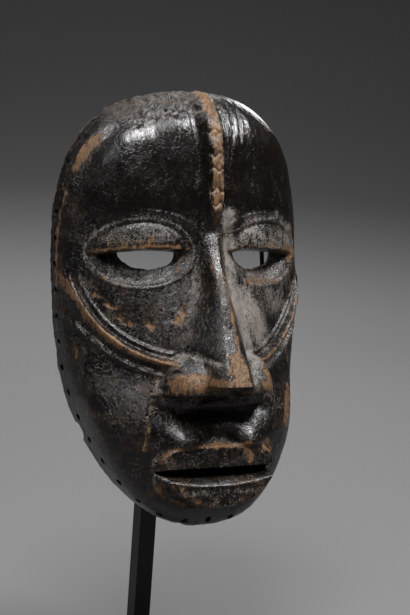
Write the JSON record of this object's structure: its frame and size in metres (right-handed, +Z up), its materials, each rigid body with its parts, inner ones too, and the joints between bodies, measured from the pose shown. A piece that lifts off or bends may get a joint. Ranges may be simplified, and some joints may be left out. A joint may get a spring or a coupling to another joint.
{
  "type": "face mask on stand",
  "caption": "Carved wooden face mask with a thin hollow shell, pierced eye slits and lashing holes round the rim, held upright by a bent rod on a square steel post and foot.",
  "frame": {"origin": "centre of the foot's underside", "axes": "+Z up, the mask looks along -Y, +X to the right of somebody facing the mask"},
  "size_m": [0.1704, 0.1558, 0.404],
  "materials": {
    "carved_wood": "dark brown glossy patina worn to ochre bare wood on the edges, grey dust in the recesses",
    "blackened_steel": "matte blackened steel with lightly rubbed edges"
  },
  "bodies": {
    "root": {"mask": "carved_wood", "post": "blackened_steel", "cradle": "blackened_steel", "foot": "blackened_steel"}
  },
  "joints": []
}
